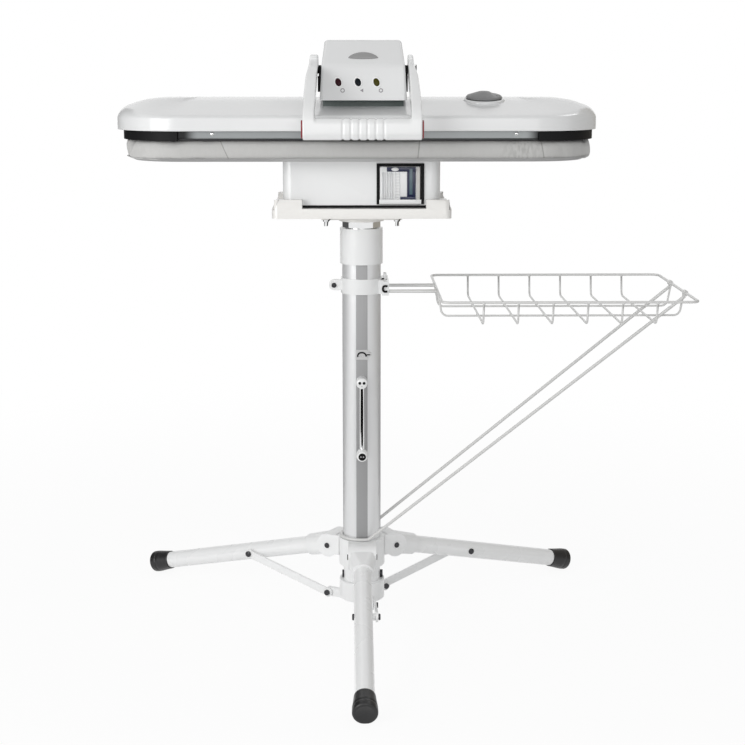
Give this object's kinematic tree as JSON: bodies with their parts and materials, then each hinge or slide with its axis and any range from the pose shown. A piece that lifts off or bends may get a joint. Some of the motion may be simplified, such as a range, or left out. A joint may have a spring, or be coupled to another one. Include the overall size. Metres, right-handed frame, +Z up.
{
  "type": "steam ironing press",
  "caption": "Steam ironing press with a hinged heated head on a padded board, carried by a crank column on a folding tripod with a swinging wire basket.",
  "frame": {"origin": "on the floor under the column axis, midway between the three feet", "axes": "+Z up along the column, -Y towards the user at the handle side, +X towards the wire basket"},
  "size_m": [0.9972, 0.7414, 1.044],
  "materials": {
    "column": "satin",
    "white_plastic": "gloss",
    "white_metal": "semi-gloss",
    "dark_metal": "semi-gloss",
    "grey_plastic": "satin",
    "black_rubber": "matte",
    "chrome": "polished",
    "spring_steel": "plain",
    "warm_white": "gloss",
    "black_plastic": "satin",
    "circuit": "satin",
    "board_metal": "painted",
    "pad_cloth": "woven",
    "wire": "semi-gloss",
    "clear_tank": "clear",
    "navy_panel": "gloss",
    "dark_aluminium": "coated",
    "sole_metal": "satin",
    "lamp_lens": "gloss",
    "red_plastic": "gloss"
  },
  "bodies": {
    "stand": {"column_tube": "column", "column_collar": "white_plastic", "tripod_hub": "white_metal", "leg_pivot_bolts": "dark_metal", "latch_plate": "grey_plastic"},
    "leg_front": {"leg_knuckle_front": "white_plastic", "leg_tube_front": "white_metal", "leg_foot_front": "black_rubber"},
    "strut_front": {"strut_front": "white_metal"},
    "leg_right": {"leg_knuckle_right": "white_plastic", "leg_tube_right": "white_metal", "leg_foot_right": "black_rubber"},
    "strut_right": {"strut_right": "white_metal"},
    "leg_left": {"leg_knuckle_left": "white_plastic", "leg_tube_left": "white_metal", "leg_foot_left": "black_rubber"},
    "strut_left": {"strut_left": "white_metal"},
    "runner": {"runner_tube": "white_metal", "lower_collar": "white_plastic", "collar_bolts": "dark_metal"},
    "press": {"mast_tube": "chrome", "mast_rack": "spring_steel", "top_plate": "warm_white", "tray": "warm_white", "tray_screws": "chrome", "base_bottom": "white_plastic", "base_shell": "white_plastic", "window_frame": "black_plastic", "steam_pump": "grey_plastic", "circuit_board": "circuit", "power_inlet": "black_rubber", "board_plate": "board_metal", "ironing_pad": "pad_cloth", "hinge_posts": "white_metal", "hinge_shaft": "spring_steel", "hinge_springs": "spring_steel"},
    "crank": {"crank_spindle": "chrome", "crank_arm": "chrome"},
    "crank_knob": {"crank_knob": "white_plastic"},
    "basket": {"clamp_ring": "white_plastic", "clamp_bolt": "dark_metal", "basket_rim": "wire", "basket_ribs": "wire", "basket_rods": "wire", "basket_brace": "wire"},
    "tank": {"water_tank": "clear_tank", "tank_panel": "navy_panel"},
    "head": {"heated_plate": "dark_aluminium", "sole_frame": "sole_metal", "sole_end_caps": "black_plastic", "heating_element": "spring_steel", "top_cover": "white_plastic", "hinge_arms": "white_metal", "console_shell": "white_plastic", "indicator_lamps": "lamp_lens", "handle_studs": "dark_metal"},
    "handle": {"handle_yoke": "white_plastic", "handle_accents": "red_plastic"},
    "steam_button": {"steam_button": "grey_plastic"},
    "dial": {"temperature_dial": "grey_plastic"}
  },
  "joints": [
    {"name": "leg_fold_front", "type": "hinge", "parent": "stand", "child": "leg_front", "pos_m": [0, -0.06, 0.128], "axis": [1, 0, 0], "range_deg": [0, 62]},
    {"name": "strut_fold_front", "type": "hinge", "parent": "leg_front", "child": "strut_front", "pos_m": [0, -0.23585, 0.08187], "axis": [1, 0, 0], "range_deg": [-124, 0]},
    {"name": "collar_ride", "type": "hinge", "parent": "strut_front", "child": "runner", "pos_m": [0, -0.06, 0.03573], "axis": [1, 0, 0], "range_deg": [0, 62]},
    {"name": "leg_fold_right", "type": "hinge", "parent": "stand", "child": "leg_right", "pos_m": [0.05196, 0.03, 0.128], "axis": [-0.5, 0.866, 0], "range_deg": [0, 62]},
    {"name": "strut_fold_right", "type": "hinge", "parent": "leg_right", "child": "strut_right", "pos_m": [0.20425, 0.11792, 0.08187], "axis": [-0.5, 0.866, 0], "range_deg": [-124, 0]},
    {"name": "leg_fold_left", "type": "hinge", "parent": "stand", "child": "leg_left", "pos_m": [-0.05196, 0.03, 0.128], "axis": [-0.5, -0.866, 0], "range_deg": [0, 62]},
    {"name": "strut_fold_left", "type": "hinge", "parent": "leg_left", "child": "strut_left", "pos_m": [-0.20425, 0.11792, 0.08187], "axis": [-0.5, -0.866, 0], "range_deg": [-124, 0]},
    {"name": "mast_lift", "type": "slide", "parent": "stand", "child": "press", "axis": [0, 0, 1], "range_m": [0, 0.15]},
    {"name": "crank_turn", "type": "hinge", "parent": "stand", "child": "crank", "pos_m": [0, -0.05, 0.449], "axis": [0, -1, 0], "continuous": true},
    {"name": "crank_knob_spin", "type": "hinge", "parent": "crank", "child": "crank_knob", "pos_m": [0, -0.07, 0.3225], "axis": [0, -1, 0], "continuous": true},
    {"name": "basket_swing", "type": "hinge", "parent": "stand", "child": "basket", "pos_m": [0, 0, 0.617], "axis": [0, 0, 1], "range_deg": [-90, 90]},
    {"name": "tank_slide", "type": "slide", "parent": "press", "child": "tank", "axis": [0, -1, 0], "range_m": [0, 0.1]},
    {"name": "head_hinge", "type": "hinge", "parent": "press", "child": "head", "pos_m": [-0.005, 0.164, 0.887], "axis": [-1, 0, 0], "range_deg": [0, 60]},
    {"name": "handle_pivot", "type": "hinge", "parent": "head", "child": "handle", "pos_m": [0.0028, -0.052, 0.994], "axis": [-1, 0, 0], "range_deg": [0, 25]},
    {"name": "steam_press", "type": "slide", "parent": "head", "child": "steam_button", "axis": [0, 0.7328, -0.6805], "range_m": [0, 0.0025], "stiffness_N_per_m": 600},
    {"name": "dial_turn", "type": "hinge", "parent": "head", "child": "dial", "pos_m": [0.2115, -0.026, 0.944], "axis": [0, -0.1478, 0.989], "range_deg": [-135, 135]}
  ],
  "couplings": [
    {"joint": "strut_fold_front", "follows": "leg_fold_front", "ratio": -2},
    {"joint": "collar_ride", "follows": "leg_fold_front", "ratio": 1},
    {"joint": "leg_fold_right", "follows": "leg_fold_front", "ratio": 1},
    {"joint": "strut_fold_right", "follows": "leg_fold_front", "ratio": -2},
    {"joint": "leg_fold_left", "follows": "leg_fold_front", "ratio": 1},
    {"joint": "strut_fold_left", "follows": "leg_fold_front", "ratio": -2},
    {"joint": "crank_turn", "follows": "mast_lift", "rad_per_m": 100}
  ]
}
